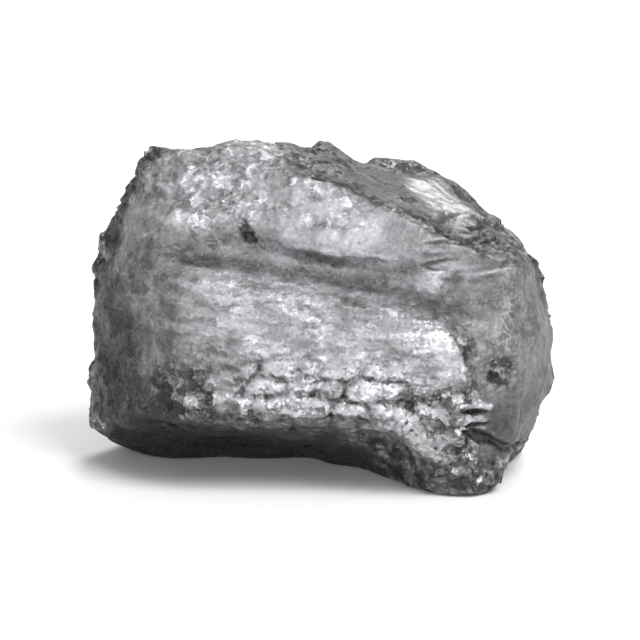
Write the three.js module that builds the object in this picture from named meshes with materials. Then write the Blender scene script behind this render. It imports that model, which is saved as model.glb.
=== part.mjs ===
// One loose lump of black coal, lying on a table on its own broken underside.
//
// The lump is a single solid. It broke out of a banded seam, so its surface is a set of rounded fracture
// faces, and thin beds run right round it, tilted a little down to the right: a hard bright bed stands
// proud as a slab along the lower front, a soft dull bed above it has worn back into a groove that widens
// to the right, and shells of coal have spalled off the back, the ends and the top. A toe reaches the
// table at the front right, and the rest of the front is undercut.
//
// Units are millimetres. +X is to the right along the lump, +Y is to the back, and +Z is up. The origin is
// on the table under the middle of the lump.
import * as THREE from "three";
import { mergeVertices } from "three/addons/utils/BufferGeometryUtils.js";
import { ImprovedNoise } from "three/addons/math/ImprovedNoise.js";

// --- driving dimensions -------------------------------------------------------------------------------

const LENGTH = 100; // along X
const DEPTH = 77; // along Y
const HEIGHT = 71; // above the table

const BED_FALL = 0.14; // the beds drop this much for each millimetre to the right
const BED_RISE_BACK = 0.04; // and climb this much for each millimetre to the back

const SPLITS = 20; // each edge of the starting icosahedron is cut into SPLITS + 1

const { lerp, smoothstep } = THREE.MathUtils;
const noise = new ImprovedNoise();

// --- fracture faces -----------------------------------------------------------------------------------

// out is the outward direction, at is a point on the face, and worn is how far its edges are rounded.
const FRACTURE_FACES = [
  { name: "front", out: [-0.1, -0.97, 0.16], at: [0, -31, 34], worn: 5 },
  { name: "front brow", out: [-0.05, -0.74, 0.68], at: [-4, -20, 61], worn: 9 },
  { name: "top", out: [0.07, 0.04, 1], at: [-12, 0, 70.5], worn: 5 },
  { name: "split top right", out: [0.34, -0.05, 0.94], at: [13, -28, 61.2], worn: 2 },
  { name: "top right", out: [0.62, 0.06, 0.78], at: [33, 0, 57.4], worn: 4 },
  { name: "right shoulder", out: [0.93, -0.05, 0.36], at: [46.4, 0, 46.2], worn: 5 },
  { name: "right end", out: [0.97, -0.24, -0.06], at: [48.5, -6, 30], worn: 5 },
  { name: "right undercut", out: [0.84, -0.2, -0.5], at: [46, -10, 14], worn: 5 },
  { name: "top left", out: [-0.72, -0.16, 0.68], at: [-41.4, -4, 62.9], worn: 10 },
  { name: "upper left end", out: [-0.95, -0.1, 0.28], at: [-47, -2, 48], worn: 6 },
  { name: "left end", out: [-0.98, -0.16, 0.03], at: [-49.8, -2, 28], worn: 6 },
  { name: "left front", out: [-0.7, -0.71, 0.06], at: [-39, -22, 34], worn: 8 },
  { name: "left undercut", out: [-0.7, -0.1, -0.7], at: [-48, 3, 4.5], worn: 4 },
  { name: "front undercut", out: [-0.06, -0.46, -0.88], at: [0, 1, 0], worn: 3 },
  { name: "back", out: [0.12, 0.98, 0.14], at: [0, 35, 30], worn: 6 },
  { name: "back brow", out: [-0.16, 0.68, 0.72], at: [0, 24, 60], worn: 4 },
  { name: "back left", out: [-0.74, 0.66, 0.12], at: [-38, 22, 34], worn: 4 },
  { name: "back right", out: [0.7, 0.7, -0.06], at: [39, 24, 32], worn: 4 },
  { name: "back undercut", out: [0.1, 0.72, -0.68], at: [0, 31, 7], worn: 5 },
].map(({ out, at, worn }) => {
  const normal = new THREE.Vector3(...out).normalize();
  return { plane: new THREE.Plane(normal, -normal.dot(new THREE.Vector3(...at))), worn };
});

// The larger of two distances, with the corner where they meet rounded over.
function roundedMax(a, b, round) {
  const near = Math.max(round - Math.abs(a - b), 0) / round;
  return Math.max(a, b) + (near * near * round) / 4;
}

function outsideFaces(p) {
  return FRACTURE_FACES.reduce(
    (far, { plane, worn }) => roundedMax(far, plane.distanceToPoint(p), worn),
    -Infinity,
  );
}

// --- spalled hollows ----------------------------------------------------------------------------------

// Coal breaks away in shells and leaves shallow dishes with a crisp rim: the ball that each one fits.
const HOLLOWS = [
  { name: "back", centre: [-16, 68, 54], radius: 42 },
  { name: "back right", centre: [47, 52, 58], radius: 34 },
  { name: "back foot", centre: [16, 66, 6], radius: 36 },
  { name: "left end", centre: [-84, 20, 30], radius: 41 },
  { name: "left foot", centre: [-63, -26, 3], radius: 26 },
  { name: "right end", centre: [84, 17, 24], radius: 39 },
  { name: "top", centre: [-24, 18, 103], radius: 37 },
  { name: "under the front", centre: [-12, -34, -18], radius: 30 },
].map(({ centre, radius }) => new THREE.Sphere(new THREE.Vector3(...centre), radius));
const RIM = 1.6; // how far the rims are rounded
const WANDER = { wave: 17, height: 5 }; // how the dishes stray from round

function spalled(block, p) {
  const stray = WANDER.height * noise.noise(p.x / WANDER.wave, p.y / WANDER.wave + 0.4, p.z / WANDER.wave);
  return HOLLOWS.reduce((far, ball) => roundedMax(far, stray - ball.distanceToPoint(p), RIM), block);
}

// --- the toe ------------------------------------------------------------------------------------------

// A round root that runs out from under the lump to the front right.
const TOE = {
  root: new THREE.Line3(new THREE.Vector3(13, 4, 4), new THREE.Vector3(28.5, -26.2, 6)),
  radius: 9.5,
  blend: 7,
};

function outsideToe(p) {
  const middle = TOE.root.closestPointToPoint(p, true, new THREE.Vector3());
  return middle.distanceTo(p) - TOE.radius;
}

// --- beds ---------------------------------------------------------------------------------------------

// 1 on the front of the lump and 0 on its back.
const FRONT = { starts: -2, full: -20 };
const frontness = (p) => smoothstep(-p.y, -FRONT.starts, -FRONT.full);

// Height up through the beds. It is the height above the table at the middle of the lump.
const bedHeight = (p) => p.z + BED_FALL * p.x - BED_RISE_BACK * p.y;

// The worn-back dull bed. It is deepest at the front, wide and open to the right, and faint at both ends.
const GROOVE = {
  height: 49.3, // of its middle, up through the beds
  halfWidth: 4.4,
  widening: 2.6, // of the half width, at the right
  depth: 4.0, // on the front
  backDepth: 1.8,
  steepness: 1.6, // of its sides
  leftOver: 0.3, // the share of the depth that is left at the right end
};
const GROOVE_ALONG = { starts: [-47, -17], widens: [2, 36], fades: [34, 47] }; // from and to, along X

function groove(p) {
  const right = smoothstep(p.x, ...GROOVE_ALONG.widens) * frontness(p);
  const across = (bedHeight(p) - GROOVE.height) / (GROOVE.halfWidth + GROOVE.widening * right);
  const depth = lerp(GROOVE.backDepth, GROOVE.depth, frontness(p));
  const started = smoothstep(p.x, ...GROOVE_ALONG.starts);
  const left = lerp(1, GROOVE.leftOver, smoothstep(p.x, ...GROOVE_ALONG.fades));
  return -depth * started * left * Math.exp(-GROOVE.steepness * across * across);
}

// The hard bright bed that stands proud: a slab on the front with round corners. Its top edge follows the
// beds. Its bottom edge broke off level, and runs down over the toe at the right.
const SLAB = { left: -48, right: 33, bottom: 13, top: 48.8, corner: 15, proud: 3.8, edge: 4, fade: 16 };
const OVER_TOE = { from: 10, full: 24, drop: 7 };

function slab(p) {
  const bottom = SLAB.bottom - OVER_TOE.drop * smoothstep(p.x, OVER_TOE.from, OVER_TOE.full);
  const inX = Math.min(p.x - SLAB.left, SLAB.right - p.x);
  const inZ = Math.min(SLAB.top - bedHeight(p), p.z - bottom);
  const inside = SLAB.corner - Math.hypot(Math.max(SLAB.corner - inX, 0), Math.max(SLAB.corner - inZ, 0));
  const started = smoothstep(p.x - SLAB.left - SLAB.edge, 0, SLAB.fade);
  return SLAB.proud * smoothstep(inside, 0, SLAB.edge) * started * frontness(p);
}

// Thin beds in steps on the back and the ends, where they were never worn smooth: [height, step].
const STEPS = [
  [22, 1.3],
  [37, -1.6],
  [57, 1.5],
];
const STEP_EDGE = 2.4;
const STEP_WANDER = { wave: 18, height: 1.5, seed: 3.5 };

function steps(p) {
  const { wave, height: most, seed } = STEP_WANDER;
  const height = bedHeight(p) + most * noise.noise(p.x / wave, p.y / wave, seed);
  const above = (at) => smoothstep(height - at, 0, STEP_EDGE) - 0.5;
  return (1 - frontness(p)) * STEPS.reduce((sum, [at, step]) => sum + step * above(at), 0);
}

// --- broken texture -----------------------------------------------------------------------------------

// The joints in the coal part it into blocks, flatter than they are wide. Each block has broken off at its
// own level and its own small lean, so the skin steps from one to the next.
const BLOCKS = { width: 16, height: 8.5, step: 2.6, lean: 0.16, crispness: 16 };
const NEIGHBOURS = [-1, 0, 1];

// Handling has worn the front down: the share of the steps that is left there, and where it sets in.
const WEAR = { left: 0.22, from: 14, full: -12 };

// A fixed scatter of numbers from 0 to 1, one for each block and each use.
function scatter(i, j, k, use) {
  const turns = Math.sin(i * 127.1 + j * 311.7 + k * 74.7 + use * 53.3) * 43758.5453;
  return turns - Math.floor(turns);
}

function blocks(p) {
  const x = p.x / BLOCKS.width;
  const y = p.y / BLOCKS.width;
  const z = bedHeight(p) / BLOCKS.height;
  let weights = 0;
  let level = 0;
  for (const di of NEIGHBOURS) {
    for (const dj of NEIGHBOURS) {
      for (const dk of NEIGHBOURS) {
        const [i, j, k] = [Math.floor(x) + di, Math.floor(y) + dj, Math.floor(z) + dk];
        const awayX = x - i - scatter(i, j, k, 1);
        const awayY = y - j - scatter(i, j, k, 2);
        const awayZ = z - k - 0.3 - 0.4 * scatter(i, j, k, 3);
        const weight = Math.exp(-BLOCKS.crispness * (awayX ** 2 + awayY ** 2 + awayZ ** 2));
        const leanX = (scatter(i, j, k, 5) - 0.5) * awayX * BLOCKS.width;
        const leanZ = (scatter(i, j, k, 6) - 0.5) * awayZ * BLOCKS.height;
        weights += weight;
        level += weight * (BLOCKS.step * (scatter(i, j, k, 4) - 0.5) + 2 * BLOCKS.lean * (leanX + leanZ));
      }
    }
  }
  return lerp(WEAR.left, 1, smoothstep(p.y, WEAR.full, WEAR.from)) * (level / weights);
}

// Lumps of three sizes: [wavelength, height].
const LUMPS = [
  [24, 2.0],
  [10, 1.1],
  [5, 0.6],
];

function lumps(p) {
  return LUMPS.reduce((sum, [wave, height], i) => {
    return sum + height * noise.noise(p.x / wave + 7 * i, p.y / wave, p.z / (0.8 * wave));
  }, 0);
}

// --- the skin -----------------------------------------------------------------------------------------

// Positive outside the lump, negative inside it.
function outside(p) {
  const proud = groove(p) + slab(p) + steps(p) + blocks(p) + lumps(p);
  const block = spalled(outsideFaces(p) - proud, p);
  const toe = outsideToe(p) - 0.5 * lumps(p);
  const joined = -roundedMax(-block, -toe, TOE.blend);
  return Math.max(joined, -p.z);
}

// Every point of the skin is in a straight line of sight from here.
const HEART = new THREE.Vector3(0, 0, 33);
const HALVINGS = 40;

// Turning the edges: how many rounds, the least gain in millimetres that is worth a turn, and how squarely,
// as a distance from HEART, a turned triangle has to face outwards.
const TURNS = 6;
const MIN_GAIN = 0.03;
const MIN_LEAN = 6;

// The distance from HEART to the skin along a direction, by halving.
function reach(direction) {
  let near = 0;
  let far = LENGTH;
  const p = new THREE.Vector3();
  for (let i = 0; i < HALVINGS; i++) {
    const middle = (near + far) / 2;
    p.copy(direction).multiplyScalar(middle).add(HEART);
    if (outside(p) > 0) far = middle;
    else near = middle;
  }
  return near;
}

// The same triangles, with each shared edge turned to whichever diagonal lies closer to the true skin, so
// that the edges of ledges and hollows run clean.
function turnEdges(triangles, cornerAt) {
  const edges = new Map();
  triangles.forEach((triangle, t) => {
    triangle.forEach((from, i) => {
      const to = triangle[(i + 1) % 3];
      edges.set(`${from} ${to}`, { t, opposite: triangle[(i + 2) % 3] });
    });
  });
  const miss = (a, b) => Math.abs(outside(cornerAt(a).add(cornerAt(b)).multiplyScalar(0.5)));
  const facesOut = (a, b, c) => {
    const [pa, pb, pc] = [a, b, c].map((corner) => cornerAt(corner).sub(HEART));
    const volume = pa.dot(pb.clone().cross(pc));
    const area = pb.sub(pa).cross(pc.sub(pa)).length();
    return volume > MIN_LEAN * area;
  };
  const used = new Set();
  for (const [key, left] of edges) {
    const [a, b] = key.split(" ").map(Number);
    const right = edges.get(`${b} ${a}`);
    const c = left.opposite;
    const d = right.opposite;
    if (a > b || used.has(left.t) || used.has(right.t) || edges.has(`${c} ${d}`)) continue;
    if (miss(c, d) > miss(a, b) - MIN_GAIN || !facesOut(a, d, c) || !facesOut(d, b, c)) continue;
    triangles[left.t] = [a, d, c];
    triangles[right.t] = [d, b, c];
    used.add(left.t).add(right.t);
  }
}

function makeLump() {
  const ball = new THREE.IcosahedronGeometry(1, SPLITS);
  ball.deleteAttribute("normal");
  ball.deleteAttribute("uv");
  const skin = mergeVertices(ball, 1e-5);
  const size = new THREE.Vector3(LENGTH, DEPTH, HEIGHT);
  const position = skin.getAttribute("position");
  const point = new THREE.Vector3();
  for (let i = 0; i < position.count; i++) {
    point.fromBufferAttribute(position, i).multiply(size).normalize();
    point.multiplyScalar(reach(point)).add(HEART);
    position.setXYZ(i, point.x, point.y, Math.max(point.z, 0));
  }
  const index = skin.getIndex();
  const triangles = [];
  for (let i = 0; i < index.count; i += 3) {
    triangles.push([index.getX(i), index.getX(i + 1), index.getX(i + 2)]);
  }
  for (let i = 0; i < TURNS; i++) {
    turnEdges(triangles, (corner) => new THREE.Vector3().fromBufferAttribute(position, corner));
  }
  skin.setIndex(triangles.flat());
  fit(skin, size);
  skin.computeVertexNormals();
  return skin;
}

// Brings the finished skin to exactly the driving size, with the origin on the table under its middle.
function fit(skin, size) {
  skin.computeBoundingBox();
  const box = skin.boundingBox;
  const middle = box.getCenter(new THREE.Vector3());
  const scale = size.clone().divide(box.getSize(new THREE.Vector3()));
  skin.translate(-middle.x, -middle.y, -box.min.z);
  skin.scale(scale.x, scale.y, scale.z);
  const position = skin.getAttribute("position");
  for (let i = 0; i < position.count; i++) {
    if (position.getZ(i) < 1e-6) position.setZ(i, 0);
  }
}

const coal = new THREE.MeshStandardMaterial({ color: 0x3a3b3d, roughness: 0.45, metalness: 0.3 });

const coalLump = new THREE.Mesh(makeLump(), coal);
coalLump.name = "coal_lump";

const part = new THREE.Group();
part.add(coalLump);

export default part;
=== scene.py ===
# A lump of banded black coal, lying on a pale table on its own broken underside. The lump is one natural
# piece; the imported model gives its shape, and this script gives its skin the broken detail and the finish
# of real coal. Lengths are in metres, and in millimetres where a name or comment says so.
import math

import bmesh
import bpy
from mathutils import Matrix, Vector, noise


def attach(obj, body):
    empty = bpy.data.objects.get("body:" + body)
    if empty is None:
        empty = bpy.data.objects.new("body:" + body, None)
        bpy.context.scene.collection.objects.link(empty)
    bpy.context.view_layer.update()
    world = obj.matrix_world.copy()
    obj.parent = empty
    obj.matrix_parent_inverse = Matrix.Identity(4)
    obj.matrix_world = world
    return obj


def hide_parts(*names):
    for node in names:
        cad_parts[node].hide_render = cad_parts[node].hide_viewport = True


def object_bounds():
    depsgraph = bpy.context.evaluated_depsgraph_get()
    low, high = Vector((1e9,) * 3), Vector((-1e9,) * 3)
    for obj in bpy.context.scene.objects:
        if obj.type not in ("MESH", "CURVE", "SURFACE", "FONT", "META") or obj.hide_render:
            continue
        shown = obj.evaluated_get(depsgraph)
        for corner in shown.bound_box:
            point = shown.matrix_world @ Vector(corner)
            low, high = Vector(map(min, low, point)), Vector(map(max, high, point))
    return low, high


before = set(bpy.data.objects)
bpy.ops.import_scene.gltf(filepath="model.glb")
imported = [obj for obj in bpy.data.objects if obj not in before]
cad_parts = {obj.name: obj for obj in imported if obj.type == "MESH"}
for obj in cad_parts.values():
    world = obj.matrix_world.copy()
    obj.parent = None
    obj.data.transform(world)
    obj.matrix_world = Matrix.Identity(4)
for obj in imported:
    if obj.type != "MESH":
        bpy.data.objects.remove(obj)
cad_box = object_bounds()


# --- camera ---------------------------------------------------------------------------------------------
# A long lens, square on to the lump's front and a little above the table.
CAMERA_RISE = math.radians(12)
CAMERA_DISTANCE = 1.3
CAMERA_TARGET = Vector((0.0, 0.0, 0.0314))
VIEW_WIDTH = 0.136

lens = bpy.data.cameras.new("long_lens")
lens.lens = lens.sensor_width * CAMERA_DISTANCE / VIEW_WIDTH
lens.clip_start = 0.05
camera = bpy.data.objects.new("camera", lens)
towards_camera = Vector((0.0, -math.cos(CAMERA_RISE), math.sin(CAMERA_RISE)))
camera.location = CAMERA_TARGET + towards_camera * CAMERA_DISTANCE
camera.rotation_euler = towards_camera.to_track_quat("Z", "Y").to_euler()
bpy.context.scene.collection.objects.link(camera)
bpy.context.scene.camera = camera


# --- the lump -------------------------------------------------------------------------------------------
# One natural piece of bituminous coal, grown as beds in a seam and broken out along its joints. Hard bright
# beds stand proud and split into small blocks, soft dull beds wear back smooth, and shells spall off the
# sides. Nothing is fixed to it.
MM = 0.001
BED_FALL = 0.14  # the beds drop this much for each millimetre to the right
BED_RISE_BACK = 0.04  # and climb this much for each millimetre to the back


def rise(value, low, high):
    """0 below low, 1 above high, and a smooth climb between them."""
    t = min(max((value - low) / (high - low), 0.0), 1.0)
    return t * t * (3.0 - 2.0 * t)


def between(value, low, high, soft):
    """1 from low to high and 0 outside, with each edge this soft to either side."""
    return rise(value, low - soft, low + soft) * (1.0 - rise(value, high - soft, high + soft))


def bed_height(p):
    """Height up through the beds, in millimetres: the height above the table at the lump's middle."""
    return p.z + BED_FALL * p.x - BED_RISE_BACK * p.y


# Kinds of smooth unevenness that several kinds of surface share, each its wavelengths in millimetres to the
# right, back and up, and its seed. Other such kinds stand beside the one surface that uses them.
BLOTCHES = (3.2, 3.2, 2.2, 9.0)
CLOUDS = (11, 11, 6, 5.0)
STRAYING = (16, 16, 16, 2.0)


def grain(p, x, y, z, seed):
    """Smooth noise from -1 to 1 with a different wavelength, in millimetres, each way."""
    return noise.noise(Vector((p.x / x + seed, p.y / y - seed, p.z / z + 2.0 * seed)))


# The slab's face, in millimetres: its ends along the lump, its top edge up through the beds, its level
# bottom edge, which runs down over the toe at the right, and the radius of its round corners.
SLAB_LEFT, SLAB_RIGHT = -46.0, 31.0
SLAB_TOP, SLAB_BOTTOM = 45.6, 11.0
DROP_OVER_TOE, OVER_TOE = 6.0, (10, 24)
SLAB_CORNER = 15.0


def inside_slab(p):
    """How far in from the slab's edge a point on the front is, in millimetres. Negative outside it."""
    in_x = min(p.x - SLAB_LEFT, SLAB_RIGHT - p.x)
    in_z = min(SLAB_TOP - bed_height(p), p.z - SLAB_BOTTOM + DROP_OVER_TOE * rise(p.x, *OVER_TOE))
    return SLAB_CORNER - math.hypot(max(SLAB_CORNER - in_x, 0.0), max(SLAB_CORNER - in_z, 0.0))


# Where the kinds of surface lie, in millimetres. A pair is where a fade starts and where it is complete,
# and three numbers are where something starts, where it ends, and how soft both edges are. "Along" runs to
# the right, "forward" to the front, "up" up through the beds, and "level" up from the table.
FRONT_FORWARD = (6, 18)
GROOVE_ALONG, GROOVE_UP = (-44, -16), (36, 44)
LIP_UP, LIP_CLIMB, LIP_CLIMBS_FROM = 51.8, 0.09, -16
LIP_BUMP, LIP_BUMP_ALONG = 2.5, (-22, -9, 4)
UPPER_FORWARD = (-2, 9)
SPLIT_FACE = Vector((0.34, -0.05, 0.94)).normalized()
SPLIT_ALONG, SPLIT_FORWARD, SPLIT_UP = (-12, -2), (-22, -10), (52, 56)
FLANK_LEFTWARD, FLANK_FORWARD, FLANK_LEVEL = (28, 38), (0, 10), (10, 58, 4)
END_ALONG, END_FORWARD, END_UP, END_TOP = (30, 34), (-4, 8), (13, 17), (52, 57)
TOE_AT, TOE_RADIUS, TOE_TOP = Vector((25, -23, 5)), 20, (11.5, 14)
STRICTER_ALONG = (12, 18)  # from here on only what faces further down is underside
WANDERING = (7, 7, 7, 4.0)


def zones(p, n):
    """How much of each kind of surface there is at a point: a dict of weights from 0 to 1."""
    h = bed_height(p)
    wander = grain(p, *WANDERING)
    stray = 7.0 * grain(p, *STRAYING) + 3.0 * wander
    front = rise(stray - p.y, *FRONT_FORWARD) * rise(0.7 * max(n.z, 0.0) - n.y, 0.0, 0.4)
    slab = rise(inside_slab(p) + 0.5 * wander, -0.4, 0.4) * front
    lip = LIP_UP + LIP_CLIMB * max(p.x - LIP_CLIMBS_FROM, 0) + LIP_BUMP * between(p.x, *LIP_BUMP_ALONG)
    above_lip = rise(h + 0.7 * wander, lip - 1.5, lip + 1.2)
    groove = rise(h, *GROOVE_UP) * (1 - above_lip)
    groove *= (1 - slab) * front * rise(p.x + 7 * wander, *GROOVE_ALONG)
    split = rise(n.dot(SPLIT_FACE), 0.78, 0.93)
    split *= rise(p.x + 2 * wander, *SPLIT_ALONG) * rise(-p.y, *SPLIT_FORWARD) * rise(h, *SPLIT_UP)
    flank = rise(3 * wander - p.x, *FLANK_LEFTWARD) * rise(3 * wander - p.y, *FLANK_FORWARD)
    flank *= between(p.z + 3 * wander, *FLANK_LEVEL)
    upper = above_lip * (1 - split)
    upper *= max(front, rise(2 * wander - p.y, *UPPER_FORWARD) * rise(0.7 * n.z - n.y, 0.0, 0.3))
    end = rise(p.x + 1.5 * wander, *END_ALONG) * rise(stray - p.y, *END_FORWARD)
    end *= (1 - rise(h, *END_TOP)) * rise(h, *END_UP)
    toe = rise(TOE_RADIUS - (p - TOE_AT).length + wander, 0, 4) * (1 - rise(h + wander, *TOE_TOP))
    under = rise(-n.z - 0.25 * rise(p.x, *STRICTER_ALONG), 0.3, 0.65) * (1 - toe)
    slab *= 1 - flank
    groove *= 1 - flank
    upper *= 1 - flank
    taken = min(slab + groove + upper + end + toe + split + flank, 1.0)
    return {
        "slab": slab * (1 - toe),
        "worn": max(groove, end * (1 - slab)) * (1 - toe) * (1 - under),
        "upper": upper,
        "split": split,
        "flank": flank * (1 - under),
        "toe": toe,
        "under": under,
        "broken": (1 - taken) * (1 - under),
    }


# Kinds of shell-shaped chip: width along the beds and thickness across them in millimetres, how much each
# leans, how hollow it is, and its seed.
SLAB_FLAKES = (4.2, 1.3, 0.9, 0.5, 4.0)
SLAB_CHIPS = (2.4, 1.9, 1.0, 0.5, 7.0)
WORN_CHIPS = (2.2, 1.6, 1.0, 0.5, 12.0)
UPPER_CHIPS = (2.6, 2.0, 1.0, 0.5, 5.0)
UPPER_CRUMBS = (1.3, 1.1, 1.0, 0.5, 9.0)
SPLIT_CHIPS = (3.0, 2.2, 1.0, 0.5, 2.0)
FLANK_CHIPS = (3.4, 3.0, 1.0, 0.5, 13.0)
TOE_CRUMBS = (3.2, 2.6, 0.9, 0.8, 8.0)
TOE_GRAINS = (1.5, 1.3, 0.9, 0.8, 3.0)
UNDER_CHIPS = (5.0, 3.0, 0.9, 0.6, 11.0)
BROKEN_SHELLS = (9.0, 6.0, 0.9, 0.6, 1.0)
BROKEN_CHIPS = (2.6, 1.9, 1.0, 0.5, 6.0)


def scattered(centre, use):
    """Three fixed random numbers from -0.5 to 0.5 for each chip and each use."""
    return noise.cell_vector(centre * (17.3 + use)) - Vector((0.5, 0.5, 0.5))


def shards(p, width, thick, lean, bowl, seed):
    """Broken shell-shaped chips: shallow bowls that meet in sharp ridges. How proud the skin is, from about
    -0.5 to 0.5, and the chip's own chance from 0 to 1."""
    q = Vector((p.x / width + seed, p.y / width, bed_height(p) / thick - seed))
    lowest, own = math.inf, 0.0
    for centre in noise.voronoi(q)[1]:
        away = q - centre
        chance = scattered(centre, seed)
        height = chance.z + 2 * lean * away.dot(chance) + bowl * away.length_squared
        if height < lowest:
            lowest, own = height, chance.x + 0.5
    return lowest, own


CLEAT_TURN = math.radians(14)  # the upright cleats are turned this much from the lump's length
CLEAT_DEPTH = 1.7  # a cleat block is this many times as deep as it is wide


def cleats(p, n, width, thick, seed):
    """Small blocks between the bedding and two sets of upright cleats: how proud the block stands, from
    about -1 to 1, how far along the surface the nearest crack is, in millimetres, and the block's own
    chance from 0 to 1."""
    ragged = Vector((grain(p, 2.6, 2.6, 2.6, 1.0), grain(p, 2.6, 2.6, 2.6, 2.0), grain(p, 3, 3, 2, 3.0)))
    frayed = Vector((grain(p, 1.1, 1.1, 1.1, 5.0), 0.0, grain(p, 1.1, 1.1, 1.1, 6.0)))
    q = p + 0.8 * ragged + 0.35 * frayed
    turn, side = math.cos(CLEAT_TURN), math.sin(CLEAT_TURN)
    h = bed_height(q) + 1.1 * grain(p, 13, 13, 9, seed)
    rows = h / thick + 0.5 * noise.noise(Vector((seed, h / (1.6 * thick), 0.3)))
    row = math.floor(rows)
    chance = noise.cell_vector(Vector((row + 0.5, seed, 0.5)))
    wide = width * (0.6 + 0.9 * chance.x)
    across = (q.x * turn + q.y * side) / wide + 5.0 * chance.y
    across += 0.45 * noise.noise(Vector((0.55 * across, row + 0.5, seed)))
    deep = (q.y * turn - q.x * side) / (CLEAT_DEPTH * width) + 5.0 * chance.z
    column, layer = math.floor(across), math.floor(deep)
    own = noise.cell_vector(Vector((column + 0.5, layer + 0.5, row + seed)))
    in_row, in_column, in_layer = rows - row, across - column, deep - layer
    facing = (n.x * turn + n.y * side, n.y * turn - n.x * side, n.z)
    gaps = (
        (min(in_row, 1 - in_row) * thick, facing[2]),
        (min(in_column, 1 - in_column) * wide, facing[0]),
        (min(in_layer, 1 - in_layer) * CLEAT_DEPTH * width, facing[1]),
    )
    closest = sum((math.sqrt(max(1 - f * f, 0.01)) / max(gap, 0.01)) ** 2.5 for gap, f in gaps) ** -0.4
    lean = (in_row - 0.5) * (own.y - 0.5) + (in_column - 0.5) * (own.z - 0.5)
    return 2.0 * (own.x - 0.5) + 2.6 * lean, closest, own.z


def tiles(p, width, thick, seed):
    """Flat blocks in ragged rows along the front: how proud the block stands, from about -1 to 1, how far
    the nearest crack is, in millimetres, and the block's own chance from 0 to 1."""
    along = p.x / width + 0.1 * grain(p, 2.4, 2.4, 2.4, seed + 2)
    up = (p.z + 0.9 * grain(p, 10, 10, 6, seed) + 0.35 * grain(p, 2.2, 2.2, 1.6, seed + 1)) / thick
    column, row = math.floor(along), math.floor(up)
    near, second, own, place = math.inf, math.inf, None, (0.0, 0.0)
    for i in (-1, 0, 1):
        for j in (-1, 0, 1):
            chance = noise.cell_vector(Vector((column + i + 0.5, row + j + 0.5, seed)))
            away = (along - column - i - 0.1 - 0.8 * chance.x, up - row - j - 0.35 - 0.3 * chance.y)
            far = (abs(away[0]) ** 3 + abs(away[1]) ** 3) ** (1 / 3)
            if far < near:
                near, second, own, place = far, near, chance, away
            elif far < second:
                second = far
    turned = noise.cell_vector(own * 31.7)
    lean = place[0] * (turned.x - 0.5) + place[1] * (turned.y - 0.5)
    return 2.0 * (own.z - 0.5) + 2.6 * lean, 0.7 * thick * (second - near), turned.z


# Kinds of streak: the direction they run in, the direction across them, their spacing in millimetres and
# their seed.
ALONG_BEDS, ACROSS_BEDS = Vector((0.99, 0.0, -0.14)), Vector((0.14, 0.0, 0.99))
UPRIGHT, LEVEL = Vector((0.1, 0.0, 0.995)), Vector((0.995, 0.0, -0.1))
LEANING, ACROSS_LEANING = Vector((0.35, 0.0, 0.94)), Vector((0.94, 0.0, -0.35))
DOWN_SPLIT, ACROSS_SPLIT = Vector((0.72, -0.63, -0.29)), Vector((0.66, 0.75, 0.0))
BED_STREAKS = (ALONG_BEDS, ACROSS_BEDS, 1.3, 1.0)
END_STREAKS = (UPRIGHT, LEVEL, 1.2, 2.0)
FLANK_STREAKS = (UPRIGHT, LEVEL, 1.2, 5.0)
UPPER_STREAKS = (LEANING, ACROSS_LEANING, 1.0, 3.0)
SPLIT_STREAKS = (DOWN_SPLIT, ACROSS_SPLIT, 1.3, 4.0)
BROAD_SPLIT_STREAKS = (DOWN_SPLIT, ACROSS_SPLIT, 3.2, 6.0)


def streak(p, along, across, narrow, seed):
    """Fine drawn-out lines that run along one direction, from about -1 to 1."""
    u, v, w = p.dot(along), p.dot(across), p.dot(along.cross(across))
    fine = noise.noise(Vector((u / (7 * narrow), v / narrow, w / (3 * narrow) + seed)))
    return fine + 0.5 * noise.noise(Vector((u / (4 * narrow), 2.1 * v / narrow, seed + 0.5)))


# Each kind of surface gives how far it stands proud in millimetres, how light it is, how glassy it is, and
# how crisply its finest grain is broken, the last three from 0 to 1. The plain numbers in a sum are how
# much each kind of unevenness adds to it.


# The slab, in millimetres: its blocks' width and height, where their rows lie, where the chips to the left
# and right of them lie, its darker left part, its gaps and laminae, the painted highlight at its right end,
# and its brighter top edge.
BLOCK_WIDTH, BLOCK_HEIGHT, BLOCK_SEED = 7.0, 4.4, 3.0
BLOCKS_ALONG, BLOCKS_TOP, BLOCKS_TOP_WANDERS = (-18, 17, 2), (25, 32), (7, 7, 7, 2.0)
LEFT_CHIPS_END, LEFT_CHIPS_TOP = (-24, -17), (26, 30)
RIGHT_CHIPS_START, RIGHT_CHIPS_TOP = (14, 20), (22, 27)
LEFT_DARKER = (-38, -22)
GAP_WIDTHS, GAPS_OPEN = (4, 4, 2.5, 6.5), (5.0, 5.0, 2.5, 8.0)
SLAB_LAMINAE, THIN_LAMINAE = (12, 12, 1.1, 0.7), (8, 8, 0.7, 2.7)
HIGHLIGHT_END_ALONG, HIGHLIGHT_END_LEVEL = (24, 33, 2), (26, 37, 2)
BRIGHT_EDGE_ALONG, BRIGHT_EDGE_DEEP = (-30, 2, 4), (1.5, 4)

# Places low on the slab that are lighter or darker than the rest, the last two of them painted shade: by
# how much, and where they start, where they end and how soft their edges are, first along the lump and then
# above the table.
FAR = -99  # further left and lower than any point of the lump
SLAB_PLACES = (
    (-0.2, (16, 40, 2), (20, 27, 1.5)),  # dull chips right of the blocks
    (0.2, (13, 21, 2), (14, 20, 1.5)),  # the foot of the last blocks
    (0.3, (19, 29, 2), (FAR, 14.5, 1.5)),  # fresh chips over the toe
    # Painted shade at the left: the next two places.
    (-0.28, (FAR, -15.5, 2.5), (FAR, 20.5, 2.5)),  # the dark foot of the left chips
    (-0.15, (FAR, -30, 3), (26, 34, 2)),  # the slab's left end, above its chips
)
DULL_CHIPS_START, DULL_CHIPS_END, DULL_CHIPS_LEVEL = (-30, -26), (-18, -13), (22, 32, 2)


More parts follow.
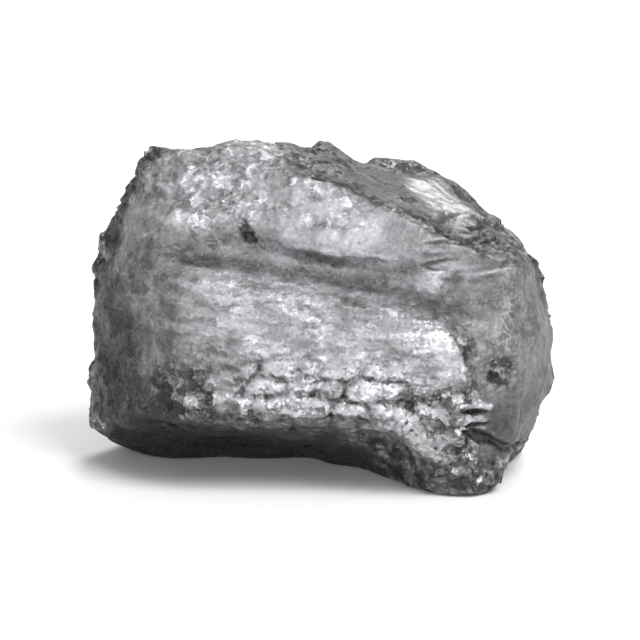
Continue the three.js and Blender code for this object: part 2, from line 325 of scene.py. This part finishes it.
def slab_skin(p, n):
    """Thin laminae above, flat blocks below, chipped small at both ends of the blocks."""
    mottle = grain(p, *BLOTCHES)
    x, z = p.x + 3 * mottle, p.z + 1.5 * mottle
    level, crack, chance = tiles(p, BLOCK_WIDTH, BLOCK_HEIGHT, BLOCK_SEED)
    blocky = 1 - rise(p.z + 4.0 * grain(p, *BLOCKS_TOP_WANDERS), *BLOCKS_TOP)
    blocky *= between(x, *BLOCKS_ALONG)
    flakes, flake_chance = shards(p, *SLAB_FLAKES)
    chips, chip_chance = shards(p, *SLAB_CHIPS)
    open_wide = 0.5 + 0.7 * rise(grain(p, *GAP_WIDTHS), -0.4, 0.5)
    gap = 1 - rise(crack + 0.8 * (chip_chance - 0.5) + 0.3 * (flake_chance - 0.5), 0.0, open_wide)
    gap *= rise(grain(p, *GAPS_OPEN), -0.3, 0.1)
    pillow = rise(crack, 0.0, 1.8)
    laminae = grain(p, *SLAB_LAMINAE) + 0.6 * grain(p, *THIN_LAMINAE)
    left = 1 - rise(p.x + 4 * mottle, *LEFT_DARKER)
    chipped = (1 - rise(x, *LEFT_CHIPS_END)) * (1 - rise(z, *LEFT_CHIPS_TOP))
    chipped = max(chipped, rise(x, *RIGHT_CHIPS_START) * (1 - rise(z, *RIGHT_CHIPS_TOP)))

    whole = (1 - blocky) * (0.12 * laminae + 0.32 * flakes)
    whole += blocky * (0.45 * level + 0.55 * pillow + 0.35 * flakes + 0.25 * chips - 0.7 * gap - 0.3)
    proud = 0.5 + whole + 1.0 * chipped * chips - 0.5 * (1 - rise(inside_slab(p), 0, 2.5))

    light = 0.72 + 0.1 * grain(p, *CLOUDS) + 0.07 * laminae + 0.1 * mottle
    light += (0.2 + 0.1 * blocky) * (flake_chance - 0.5)
    # Each block is painted lighter in its middle and darker towards its cracks: painted shade.
    light += blocky * (0.3 * (chance - 0.5) + 0.18 * pillow - 0.3 * gap)
    light += blocky * (0.24 * rise(z, 17, 24) - 0.15)
    # A painted highlight at the slab's right end.
    light += 0.13 * between(p.x, *HIGHLIGHT_END_ALONG) * between(p.z, *HIGHLIGHT_END_LEVEL)
    from_top = SLAB_TOP - bed_height(p)
    light += 0.08 * between(p.x, *BRIGHT_EDGE_ALONG) * (1 - rise(from_top, *BRIGHT_EDGE_DEEP))
    light += (0.8 + 0.3 * left) * chipped * (chip_chance - 0.6) - 0.22 * left
    for lighter, along, above in SLAB_PLACES:
        light += lighter * between(x, *along) * between(z, *above)
    dull_chips = rise(x, *DULL_CHIPS_START) * (1 - rise(x, *DULL_CHIPS_END))
    light -= 0.13 * dull_chips * between(z, *DULL_CHIPS_LEVEL)

    glassy = 0.5 + 0.4 * (blocky * chance + (1 - blocky) * flake_chance - 0.5)
    glassy += 0.5 * chipped * (chip_chance - 0.5)
    return proud, light, glassy, 0.5 + 0.5 * max(blocky, chipped)


# The groove and the right end, in millimetres: where the front turns to the end, where the end darkens low
# down, the pitted place, where the painted shade on upward faces thins out, and the stretch under the
# groove's upper lip, which gets painted light.
END_TURNS = (30, 38)
END_DARKER_LEVEL = (14, 32)
PITTED_ALONG, PITTED_LEVEL = (35, 40, 1.2), (24.5, 30.5, 1.2)
LEDGE_SHADE_FADES = (8, 22)
BELOW_LIP_ALONG, BELOW_LIP_UP = (-8, 16, 3), (50, 54, 1.5)
WORN_SWELLS = (6, 6, 3, 6.0)


def worn_skin(p, n):
    """The groove and the right end: worn smooth and dull, with long faint streaks and one pitted place,
    painted shade where the surface faces up and painted light where it faces down under the upper lip.
    """
    turn = rise(p.x, *END_TURNS)
    lines = streak(p, *BED_STREAKS) * (1 - turn) + streak(p, *END_STREAKS) * turn
    mottle = grain(p, *BLOTCHES)
    chips, chance = shards(p, *WORN_CHIPS)
    pitted = between(p.x + mottle, *PITTED_ALONG) * between(p.z + mottle, *PITTED_LEVEL)
    below_lip = between(p.x, *BELOW_LIP_ALONG) * between(bed_height(p), *BELOW_LIP_UP)
    proud = 0.14 * grain(p, *WORN_SWELLS) + 0.07 * lines + 0.12 * chips + pitted * (1.2 * chips - 0.4)
    proud += 0.6 * below_lip
    light = 0.58 + 0.06 * grain(p, *CLOUDS) + 0.055 * lines + 0.05 * mottle + 0.08 * (chance - 0.5)
    light -= turn * (0.03 + 0.2 * (1 - rise(p.z, *END_DARKER_LEVEL)))
    light -= pitted * (0.22 + 0.4 * (chance - 0.5))
    # Painted shade where the surface faces up, less of it to the right.
    light -= (0.07 - 0.04 * rise(p.x, *LEDGE_SHADE_FADES)) * rise(n.z, 0.1, 0.6)
    # Painted light where the surface under the upper lip faces down, to lift its shade.
    light += 0.22 * below_lip * rise(-n.z, -0.05, 0.25)
    return proud, light, 0.25, 0.4 + 0.5 * pitted


# The upper bed, in millimetres: where its chipped left part ends, where its right foot is darker, where its
# left foot is bright, and where a darker place lies above the groove.
CHIPPED_LEFT_ENDS = (-20, -8)
DARKER_RIGHT_ALONG, DARKER_RIGHT_TOP = (6, 26), (54, 61)
BRIGHT_LEFTWARD, BRIGHT_LEFT_LEVEL = (24, 32), (49, 57, 2)
DARKER_PLACE_ALONG, DARKER_PLACE_TOP = (-24, -6, 4), (53, 58)
UPPER_SWELLS = (5, 5, 4, 0.0)


def upper_skin(p, n):
    """The upper bed: silky with faint upright lines, and chipped small at the left and along its top."""
    mottle = grain(p, *BLOTCHES)
    chipped = max(1 - rise(p.x + 6 * mottle, *CHIPPED_LEFT_ENDS), rise(n.z + 0.15 * mottle, 0.45, 0.7))
    upright = streak(p, *UPPER_STREAKS)
    chips, chip_chance = shards(p, *UPPER_CHIPS)
    crumbs, crumb_chance = shards(p, *UPPER_CRUMBS)
    proud = 0.12 * grain(p, *UPPER_SWELLS) + 0.06 * upright + chipped * (0.45 * chips + 0.22 * crumbs)
    light = 0.78 + 0.09 * grain(p, *CLOUDS) + 0.08 * upright + 0.08 * mottle
    light += chipped * (0.34 * (chip_chance - 0.5) + 0.2 * (crumb_chance - 0.5) - 0.03)
    light -= 0.28 * rise(p.x + 2 * mottle, *DARKER_RIGHT_ALONG) * (1 - rise(p.z, *DARKER_RIGHT_TOP))
    light += rise(-p.x, *BRIGHT_LEFTWARD) * (0.03 + 0.22 * between(p.z, *BRIGHT_LEFT_LEVEL))
    darker_place = between(p.x + 4 * mottle, *DARKER_PLACE_ALONG)
    light -= 0.12 * darker_place * (1 - rise(p.z + 3 * mottle, *DARKER_PLACE_TOP))
    return proud, light, 0.5 + 0.5 * chipped * (chip_chance - 0.5), 0.25 + 0.3 * chipped


# The split face's glassy place, whose lighter colour is a painted highlight, in millimetres: its middle,
# how far it reaches along and aside, and how much it slants to the front for each millimetre to the right.
HIGHLIGHT_X, HIGHLIGHT_Y = 26, -2
HIGHLIGHT_LENGTH, HIGHLIGHT_WIDTH, HIGHLIGHT_SLANT = 8.5, 18, 0.87
ROUGH_LEFTWARD, ROUGH_RIGHT = (-9, 2), (32, 38)
LIGHTER_RIGHT = (28, 38)


def split_skin(p, n):
    """The split face: dark and drawn out in streaks down to the right, with one smooth glassy place that
    also gets a painted highlight.
    """
    lines = streak(p, *SPLIT_STREAKS)
    drawn = streak(p, *BROAD_SPLIT_STREAKS)
    along = (p.x - HIGHLIGHT_X) / HIGHLIGHT_LENGTH
    aside = (p.y - HIGHLIGHT_Y + HIGHLIGHT_SLANT * (p.x - HIGHLIGHT_X)) / HIGHLIGHT_WIDTH
    glassy_highlight = rise(1 - math.hypot(along, aside) + 0.25 * drawn + 0.15 * lines, -0.15, 0.45)
    chips, chance = shards(p, *SPLIT_CHIPS)
    rough = 0.35 + 0.65 * max(rise(-p.x, *ROUGH_LEFTWARD), rise(p.x, *ROUGH_RIGHT))
    rough *= 1 - glassy_highlight
    proud = 0.12 * lines + 0.15 * drawn + rough * 0.6 * chips
    light = 0.19 + 0.1 * lines + 0.08 * drawn + 0.06 * grain(p, *BLOTCHES)
    light += 0.08 * rise(p.x, *LIGHTER_RIGHT)
    # The glassy place is painted lighter: a painted highlight.
    light += rough * 0.4 * (chance - 0.5) + glassy_highlight * (0.47 + 0.12 * drawn)
    return proud, light, 0.4 * rough * chance + 0.65 * glassy_highlight, 0.3 + 0.4 * rough


# The left flank, in millimetres: where its low chipped part ends, where painted shade darkens it to the
# left and down, and where it lightens to the upper bed.
FLANK_LOW_TOP = (15, 31)
SHADE_LEFTWARD, SHADE_TOP = (34, 44), (24, 50)
FLANK_LIGHT_LEVEL = (46, 54)
FLANK_SWELLS = (7, 7, 7, 1.0)


def flank_skin(p, n):
    """The front of the left end: worn fairly smooth with upright streaks, chipped low down, and darkened to
    the left and low down by painted shade.
    """
    lines = streak(p, *FLANK_STREAKS)
    chips, chance = shards(p, *FLANK_CHIPS)
    low = 1 - rise(p.z, *FLANK_LOW_TOP)
    # Painted shade, deepest at the far left and low down.
    painted_shade = max(0.62 * rise(-p.x, *SHADE_LEFTWARD) * (1 - rise(p.z, *SHADE_TOP)), 0.55 * low)
    proud = 0.2 * grain(p, *FLANK_SWELLS) + 0.08 * lines + (0.25 + 0.4 * low) * chips
    light = 0.58 + 0.11 * grain(p, *CLOUDS) + 0.13 * lines + (0.2 + 0.4 * low) * (chance - 0.5)
    light += 0.17 * rise(p.z, *FLANK_LIGHT_LEVEL)
    return proud, light - painted_shade, 0.3 + 0.3 * (chance - 0.5), 0.45 + 0.4 * low


TOE_DARKENS = (24, 30)  # millimetres to the right


def toe_skin(p, n):
    """The toe: crumbly and dull, and darker at its right end."""
    crumbs, chance = shards(p, *TOE_CRUMBS)
    fine, fine_chance = shards(p, *TOE_GRAINS)
    proud = 0.9 * crumbs + 0.4 * fine
    light = 0.4 - 0.1 * rise(p.x, *TOE_DARKENS) + 0.12 * grain(p, *BLOTCHES)
    light += 0.35 * (chance - 0.5) + 0.45 * (fine_chance - 0.5)
    return proud, light, 0.35 + 0.5 * (fine_chance - 0.5), 1.0


# The underside, in millimetres: where its painted shade lifts to the right, at first and again near the
# toe, and where the painted shadow at its foot lifts going up from the table.
UNDER_LIGHTENS, NEAR_TOE_LIGHTENS, UNDER_SHADOW_FOOT = (-32, -4), (0, 10), (3, 9)
UNDER_SWELLS = (5, 5, 5, 3.0)


def under_skin(p, n):
    """Under the overhang and the lump: torn from the bed below and dull, its colour painted shade that is
    darkest at the left and at the foot.
    """
    chips, chance = shards(p, *UNDER_CHIPS)
    # Painted shade: dark all over, lifted to the right and near the toe.
    light = 0.05 + 0.12 * chance + 0.22 * rise(p.x, *UNDER_LIGHTENS)
    light += 0.25 * rise(p.x, *NEAR_TOE_LIGHTENS)
    # A painted shadow at the foot, where the underside meets the table.
    light *= 0.3 + 0.7 * rise(p.z, *UNDER_SHADOW_FOOT)
    return 0.5 * chips + 0.3 * grain(p, *UNDER_SWELLS), light, 0.1, 0.5


# The freshly broken back and ends, in millimetres: how far the bright and dull bands reach and how thick
# they are, the cleat blocks' width and height, and between where, going back, the relief grows to its full
# height.
BAND_REACH, BAND_THICKNESS, BAND_SEED = 60, 5.5, 3.1
CLEAT_WIDTH, CLEAT_HEIGHT, CLEAT_SEED = 6.5, 4.2, 5.0
CRACKS_OPEN, BROKEN_LAMINAE = (8, 8, 4, 8.0), (14, 14, 1.2, 0.7)
RELIEF_GROWS_BACK = (-8, 12)


def broken_skin(p, n):
    """Broken fresh: bright bands split into cleat blocks, dull bands stay whole, both chipped by shells,
    and a few glassy chips carry a painted glint.
    """
    height = bed_height(p)
    banding = noise.noise(Vector((p.x / BAND_REACH, p.y / BAND_REACH, height / BAND_THICKNESS + BAND_SEED)))
    band = rise(banding + 0.15 * grain(p, *BLOTCHES), -0.12, 0.12)
    big, big_chance = shards(p, *BROKEN_SHELLS)
    small, small_chance = shards(p, *BROKEN_CHIPS)
    level, crack, chance = cleats(p, n, CLEAT_WIDTH, CLEAT_HEIGHT, CLEAT_SEED)
    gap = band * (1 - rise(crack, 0.15, 0.8)) * rise(grain(p, *CRACKS_OPEN), -0.15, 0.2)
    laminae = grain(p, *BROKEN_LAMINAE)
    proud = 1.0 * big + 0.45 * small + 0.12 * laminae + band * (0.5 + 0.5 * level) - 0.9 * gap
    proud *= 0.4 + 0.6 * rise(p.y + 7.0 * grain(p, *STRAYING), *RELIEF_GROWS_BACK)
    bright = rise(small_chance, 0.8, 0.9) * rise(big_chance + 0.4 * band, 0.4, 0.8)
    light = 0.3 + 0.2 * band + 0.1 * grain(p, *CLOUDS) + 0.06 * laminae - 0.4 * gap
    light += 0.2 * (big_chance - 0.5) + 0.4 * (small_chance - 0.5) + 0.25 * band * (chance - 0.5)
    # A painted glint: the few glassy chips are also made lighter.
    light += 0.25 * bright
    return proud, light, 0.35 + 0.6 * (small_chance - 0.3) * (0.4 + 0.6 * band) + 0.3 * bright, 0.85


SKINS = {
    "slab": slab_skin,
    "worn": worn_skin,
    "upper": upper_skin,
    "split": split_skin,
    "flank": flank_skin,
    "toe": toe_skin,
    "under": under_skin,
    "broken": broken_skin,
}


# The opened plates, in millimetres: their spacing up through the beds, where they lie, and where they start
# and end along the lump.
PLATE_SPACING = 3.2
PLATES_UP, PLATES_FORWARD = (20.8, 27.0, 0.4), (20, 24)
PLATES_START, SLOTS_START, PLATES_END = (27.5, 29), (29.2, 30.4), 32.5


def opened(p):
    """Two or three thin plates broken open at the slab's lower right corner: 1 on a plate, -1 in a slot
    between two, and 0 elsewhere."""
    h = bed_height(p) + 0.5 * grain(p, 4, 4, 4, 3.5) + 0.3 * grain(p, 1.5, 1.5, 1.5, 2.5)
    chance = noise.cell_vector(Vector((math.floor(h / PLATE_SPACING) + 0.5, 7.5, 2.5)))
    x = p.x + 1.0 * grain(p, 2, 2, 1.6, 4.5)
    end = PLATES_END + 3.0 * chance.y
    there = between(h, *PLATES_UP) * rise(-p.y, *PLATES_FORWARD) * (1 - rise(x, end, end + 1.0))
    in_plate = h / PLATE_SPACING - math.floor(h / PLATE_SPACING)
    plate = between(in_plate, 0.05, 0.5 + 0.25 * chance.z, 0.14)
    slot = (1 - plate) * rise(x, SLOTS_START[0], SLOTS_START[1] + chance.x)
    return there * (plate * rise(x, *PLATES_START) - slot)


# The wrinkles' fan: the point they spread from, how near and far from it they show, in millimetres, and
# between which turns, in radians up from the level.
FAN_X, FAN_Z = 49.0, 50.5
FAN_REACH, FAN_TURNS, FAN_FORWARD = (11, 28, 3), (-0.3, 0.5, 0.1), (2, 10)


def wrinkles(p):
    """Fine ridges and creases at the front's upper right that spread to the left from one point, as they do
    where coal tears: from about 1 on a ridge to -1 in a crease."""
    turn, far = math.atan2(p.z - FAN_Z, FAN_X - p.x), math.hypot(FAN_X - p.x, p.z - FAN_Z)
    broad = noise.noise(Vector((8 * turn, far / 15, 1.5)))
    broad += 0.4 * noise.noise(Vector((19 * turn, far / 8, 4.5)))
    crease = 1 - rise(abs(noise.noise(Vector((11 * turn, far / 11, 7.5)))), 0.0, 0.16)
    crease *= rise(noise.noise(Vector((5 * turn, far / 7, 9.5))), -0.25, 0.1)
    shown = between(far, *FAN_REACH) * between(turn, *FAN_TURNS) * rise(-p.y, *FAN_FORWARD)
    return (broad - crease) * shown


# The parting above the toe, in millimetres: one place on it, and its fall from there for each millimetre to
# the right.
CREVICE_AT, CREVICE_FALL = Vector((31.0, 0.0, 14.3)), 0.53
CREVICE_ALONG, CREVICE_FORWARD = (28, 32), (-6, 4)


def crevice(p):
    """The parting between the right end and the toe below it: 1 in it, 0 elsewhere."""
    off = p.z - CREVICE_AT.z + CREVICE_FALL * (p.x - CREVICE_AT.x) + 1.2 * grain(p, 6, 6, 6, 3.5)
    off += 0.5 * grain(p, 1.8, 1.8, 1.8, 2.5)
    wide = 1.5 + 0.9 * grain(p, 5, 5, 5, 6.5)
    there = rise(p.x, *CREVICE_ALONG) * rise(-p.y, *CREVICE_FORWARD)
    return there * (1 - rise(abs(off), 0.2 * wide, wide))


# The notch at the groove's upper lip, in millimetres: its middle, its half length and half width, and the
# direction it runs in, down to the right.
NOTCH_X, NOTCH_Z = -15.0, 53.2
NOTCH_LENGTH, NOTCH_WIDTH = 4.0, 1.7
NOTCH_RIGHT, NOTCH_DOWN = 0.5, 0.87
NOTCH_FORWARD = (10, 16)


def notch(p):
    """A small rough notch broken into the lower edge of the upper bed: 1 in it, 0 elsewhere."""
    ragged = grain(p, 2.6, 2.6, 2.6, 1.5) + 0.7 * grain(p, 1.1, 1.1, 1.1, 3.5)
    off_x, off_z = p.x - NOTCH_X + 1.2 * ragged, p.z - NOTCH_Z
    along = NOTCH_RIGHT * off_x - NOTCH_DOWN * off_z
    across = NOTCH_DOWN * off_x + NOTCH_RIGHT * off_z
    deep = 1 - rise(math.hypot(along / NOTCH_LENGTH, across / NOTCH_WIDTH) + 0.5 * ragged, 0.2, 1.0)
    return rise(-p.y, *NOTCH_FORWARD) * deep


# How far each small form stands out or goes in, in millimetres, the painted highlight on plates and the
# painted shade in slots, partings and the notch, and how much painted highlight lightens ridges and painted
# shade darkens creases.
PLATE_PROUD, SLOT_DEPTH, PARTING_DEPTH, FAN_DEPTH = 0.5, 1.1, 1.5, 0.7
PLATE_HIGHLIGHT, PARTING_SHADE = 0.84, 0.16
RIDGE_HIGHLIGHT, CREASE_SHADE = 0.5, 0.35
LEAST_WEIGHT = 0.01  # a kind of surface with no more than this is left out of the mean


def relief(p, n):
    """The skin at a point where its kinds of surface run into each other: their weighted mean."""
    total, mean = 0.0, (0.0, 0.0, 0.0, 0.0)
    for kind, weight in zones(p, n).items():
        if weight > LEAST_WEIGHT:
            values = SKINS[kind](p, n)
            mean = tuple(m + weight * v for m, v in zip(mean, values))
            total += weight
    proud, light, glassy, crisp = (m / max(total, LEAST_WEIGHT) for m in mean)
    plate, parted, fan = opened(p), max(crevice(p), notch(p)), wrinkles(p)
    raised, sunk = max(plate, 0.0), max(-plate, parted, 0.0)
    proud += PLATE_PROUD * raised + SLOT_DEPTH * min(plate, 0.0) - PARTING_DEPTH * parted + FAN_DEPTH * fan
    # Painted highlight on the fan's ridges and painted shade in its creases.
    light += RIDGE_HIGHLIGHT * max(fan, 0.0) + CREASE_SHADE * min(fan, 0.0)
    # Painted highlight on the opened plates, and painted shade in their slots, the parting and the notch.
    light += (PLATE_HIGHLIGHT - light) * raised + (PARTING_SHADE - light) * sunk
    return proud, light, glassy, crisp


VOXEL = 0.36 * MM
ROUNDING = 10  # smoothing rounds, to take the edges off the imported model's triangles
SET_BACK = 0.25  # millimetres taken off the relief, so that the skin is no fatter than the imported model
SETTLED = (0.0, 1.5)  # millimetres above the table over which the relief fades in, for a flat footing
MOST_TRIANGLES = 192000

packed_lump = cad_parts["coal_lump"]
blank = bmesh.new()
blank.from_mesh(packed_lump.data)
bmesh.ops.remove_doubles(blank, verts=blank.verts, dist=0.001 * MM)
skin = bpy.data.meshes.new("coal_lump_surface")
blank.to_mesh(skin)
blank.free()
coal_lump = bpy.data.objects.new("coal_lump_surface", skin)
bpy.context.scene.collection.objects.link(coal_lump)


def settle_modifiers(piece):
    """Make the mesh that a piece's modifiers give into its own."""
    evaluated = piece.evaluated_get(bpy.context.evaluated_depsgraph_get())
    piece.data = bpy.data.meshes.new_from_object(evaluated)
    piece.modifiers.clear()


finer = coal_lump.modifiers.new("finer", "SUBSURF")
finer.levels = finer.render_levels = 1
even = coal_lump.modifiers.new("even", "REMESH")
even.mode = "VOXEL"
even.voxel_size = VOXEL
worn = coal_lump.modifiers.new("worn", "SMOOTH")
worn.iterations = ROUNDING
settle_modifiers(coal_lump)

skin = coal_lump.data
light_of = skin.attributes.new("light", "FLOAT", "POINT")
glassy_of = skin.attributes.new("glassy", "FLOAT", "POINT")
crisp_of = skin.attributes.new("crisp", "FLOAT", "POINT")
box_low, box_high = cad_box
places, lights, glassies, crisps = [], [], [], []
for vertex, normal in zip(skin.vertices, skin.vertex_normals):
    at = vertex.co / MM
    proud, light, glassy, crisp = relief(at, normal.vector)
    place = vertex.co + normal.vector * ((proud - SET_BACK) * rise(at.z, *SETTLED) * MM)
    places += [min(max(place[i], box_low[i]), box_high[i]) for i in range(3)]
    lights.append(min(max(light, 0.0), 1.0))
    glassies.append(min(max(glassy, 0.0), 1.0))
    crisps.append(crisp)
skin.vertices.foreach_set("co", places)
light_of.data.foreach_set("value", lights)
glassy_of.data.foreach_set("value", glassies)
crisp_of.data.foreach_set("value", crisps)
skin.update()

thinned = coal_lump.modifiers.new("thinned", "DECIMATE")
triangles = sum(len(polygon.vertices) - 2 for polygon in skin.polygons)
thinned.ratio = min(MOST_TRIANGLES / triangles, 1.0)
settle_modifiers(coal_lump)
coal_lump.data.name = "coal_lump_surface"
for polygon in coal_lump.data.polygons:
    polygon.use_smooth = True


# The coal's finish: the two sizes of facet and the height of the dust are in metres.
COARSE_FACET, FINE_FACET = 1.5 * MM, 0.65 * MM
COARSE_SPECKLE, FINE_SPECKLE = 0.13, 0.16
DUST_PER_METRE, DUST_DETAIL, DUST_ROUGHNESS = 1500.0, 3.0, 0.7
DUST_HEIGHT, DUST_SHADE = 0.06 * MM, 0.05
DARKEST, LIGHTEST = (0.006, 0.006, 0.0065, 1), (0.52, 0.53, 0.545, 1)
GREYS = ((0.25, 0.03), (0.5, 0.1), (0.75, 0.27))  # how light the skin is, and its grey there
GREEN_CAST, BLUE_CAST = 1.02, 1.06  # the greys are slightly cold
DULL_ROUGHNESS, GLASSY_ROUGHNESS, FACET_SHINE = 0.6, 0.3, 0.1
COAL_METALLIC, COAL_IOR = 0.45, 1.8
FINE_FACET_RELIEF, BUMP_DEPTH = 0.9, 0.8


def coal_finish():
    """Banded coal: black to silvery grey by how light the skin is, broken into fine facets that each lean
    and shine their own way where the skin is crisp, under a thin even dust."""
    material = bpy.data.materials.new("banded_coal")
    material.use_nodes = True
    nodes, links = material.node_tree.nodes, material.node_tree.links
    shader = nodes["Principled BSDF"]
    where = nodes.new("ShaderNodeTexCoord").outputs["Object"]

    def attribute(name):
        """One of the skin's own values at each point."""
        node = nodes.new("ShaderNodeAttribute")
        node.attribute_name = name
        return node.outputs["Fac"]

    def math_of(operation, a, b, clamp=False):
        """Two values added or multiplied, each a number or another node's output."""
        node = nodes.new("ShaderNodeMath")
        node.operation = operation
        node.use_clamp = clamp
        for socket, value in zip(node.inputs, (a, b)):
            if isinstance(value, (int, float)):
                socket.default_value = value
            else:
                links.new(value, socket)
        return node.outputs[0]

    def spread(value, low, high, to_low, to_high):
        """The value moved from one range to another."""
        node = nodes.new("ShaderNodeMapRange")
        ends = {"From Min": low, "From Max": high, "To Min": to_low, "To Max": to_high}
        for name, number in ends.items():
            node.inputs[name].default_value = number
        links.new(value, node.inputs["Value"])
        return node.outputs["Result"]

    def either_way(value, most):
        """A chance from 0 to 1 turned into a change of up to this much either way."""
        return spread(value, 0, 1, -most, most)

    def facets(size):
        """Small flat facets, each leaning its own way: their height in metres and two chances each."""
        cells = nodes.new("ShaderNodeTexVoronoi")
        cells.inputs["Scale"].default_value = 1 / size
        links.new(where, cells.inputs["Vector"])
        away = nodes.new("ShaderNodeVectorMath")
        away.operation = "SUBTRACT"
        links.new(where, away.inputs[0])
        links.new(cells.outputs["Position"], away.inputs[1])
        lean = nodes.new("ShaderNodeVectorMath")
        lean.operation = "SUBTRACT"
        links.new(cells.outputs["Color"], lean.inputs[0])
        lean.inputs[1].default_value = (0.5, 0.5, 0.5)
        height = nodes.new("ShaderNodeVectorMath")
        height.operation = "DOT_PRODUCT"
        links.new(away.outputs[0], height.inputs[0])
        links.new(lean.outputs[0], height.inputs[1])
        apart = nodes.new("ShaderNodeSeparateColor")
        links.new(cells.outputs["Color"], apart.inputs["Color"])
        return height.outputs["Value"], apart.outputs["Red"], apart.outputs["Green"]

    light, glassy, crisp = attribute("light"), attribute("glassy"), attribute("crisp")
    coarse_height, coarse_tone, coarse_shine = facets(COARSE_FACET)
    fine_height, fine_tone, fine_shine = facets(FINE_FACET)
    dusting = nodes.new("ShaderNodeTexNoise")
    dusting.inputs["Scale"].default_value = DUST_PER_METRE
    dusting.inputs["Detail"].default_value = DUST_DETAIL
    dusting.inputs["Roughness"].default_value = DUST_ROUGHNESS
    links.new(where, dusting.inputs["Vector"])
    dust = dusting.outputs["Fac"]

    speckle = math_of("ADD", either_way(coarse_tone, COARSE_SPECKLE), either_way(fine_tone, FINE_SPECKLE))
    lit = math_of("ADD", light, math_of("MULTIPLY", speckle, crisp))
    lit = math_of("ADD", lit, spread(dust, 0.3, 0.7, -DUST_SHADE, DUST_SHADE), True)
    ramp = nodes.new("ShaderNodeValToRGB")
    links.new(lit, ramp.inputs["Fac"])
    stops = ramp.color_ramp.elements
    stops[0].position, stops[0].color = 0.0, DARKEST
    stops[1].position, stops[1].color = 1.0, LIGHTEST
    for position, grey in GREYS:
        stop = stops.new(position)
        stop.color = (grey, GREEN_CAST * grey, BLUE_CAST * grey, 1)
    links.new(ramp.outputs["Color"], shader.inputs["Base Color"])

    shine = math_of("ADD", either_way(coarse_shine, FACET_SHINE), either_way(fine_shine, FACET_SHINE))
    dull = spread(glassy, 0, 1, DULL_ROUGHNESS, GLASSY_ROUGHNESS)
    links.new(math_of("ADD", dull, math_of("MULTIPLY", shine, crisp)), shader.inputs["Roughness"])
    shader.inputs["Metallic"].default_value = COAL_METALLIC
    shader.inputs["IOR"].default_value = COAL_IOR

    broken = math_of("ADD", coarse_height, math_of("MULTIPLY", fine_height, FINE_FACET_RELIEF))
    dusted = math_of("MULTIPLY", dust, DUST_HEIGHT)
    bump = nodes.new("ShaderNodeBump")
    bump.inputs["Strength"].default_value = 1.0
    bump.inputs["Distance"].default_value = BUMP_DEPTH
    links.new(math_of("ADD", math_of("MULTIPLY", broken, crisp), dusted), bump.inputs["Height"])
    links.new(bump.outputs["Normal"], shader.inputs["Normal"])
    return material


coal_lump.data.materials.clear()
coal_lump.data.materials.append(coal_finish())
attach(coal_lump, "root")
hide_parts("coal_lump")


# --- table and light ------------------------------------------------------------------------------------
# A plain white table that runs out of sight, under a white sky that fills the shadows. One large soft lamp
# above the front right models the beds, a weaker one fills the front, and one behind lights the top.
TABLE_SIZE = 6.0
TABLE_WHITE, TABLE_ROUGHNESS = (0.9, 0.9, 0.9, 1), 0.8
WHITE = (1, 1, 1, 1)
SKY_LIGHT, SKY_SEEN = 0.45, 1.0

table_mesh = bpy.data.meshes.new("table_top")
table_top = bmesh.new()
bmesh.ops.create_grid(table_top, x_segments=1, y_segments=1, size=TABLE_SIZE / 2)
table_top.to_mesh(table_mesh)
table_top.free()
table = bpy.data.objects.new("table_top", table_mesh)
bpy.context.scene.collection.objects.link(table)
paper = bpy.data.materials.new("white_paper")
paper.use_nodes = True
paper.node_tree.nodes["Principled BSDF"].inputs["Base Color"].default_value = TABLE_WHITE
paper.node_tree.nodes["Principled BSDF"].inputs["Roughness"].default_value = TABLE_ROUGHNESS
table_mesh.materials.append(paper)

world = bpy.data.worlds.new("studio")
world.use_nodes = True
room = world.node_tree
sky = room.nodes["Background"]
sky.inputs["Color"].default_value = WHITE
sky.inputs["Strength"].default_value = SKY_LIGHT
backdrop = room.nodes.new("ShaderNodeBackground")
backdrop.inputs["Color"].default_value = WHITE
backdrop.inputs["Strength"].default_value = SKY_SEEN
seen = room.nodes.new("ShaderNodeLightPath")
mix = room.nodes.new("ShaderNodeMixShader")
room.links.new(seen.outputs["Is Camera Ray"], mix.inputs["Fac"])
room.links.new(sky.outputs[0], mix.inputs[1])
room.links.new(backdrop.outputs[0], mix.inputs[2])
room.links.new(mix.outputs[0], room.nodes["World Output"].inputs["Surface"])
bpy.context.scene.world = world


def softbox(name, place, size, power):
    """A square lamp that faces the lump, with its side in metres and its power in watts."""
    lamp = bpy.data.lights.new(name, "AREA")
    lamp.energy = power
    lamp.size = size
    holder = bpy.data.objects.new(name, lamp)
    holder.location = place
    holder.rotation_euler = Vector(place).to_track_quat("Z", "Y").to_euler()
    holder.visible_camera = False
    bpy.context.scene.collection.objects.link(holder)


softbox("key", place=(0.6, -0.85, 1.1), size=0.8, power=24)
softbox("front_fill", place=(-0.15, -1.3, 0.25), size=0.6, power=8)
softbox("behind", place=(0.3, 1.1, 1.0), size=0.7, power=12)

bpy.context.scene.view_settings.view_transform = "Standard"
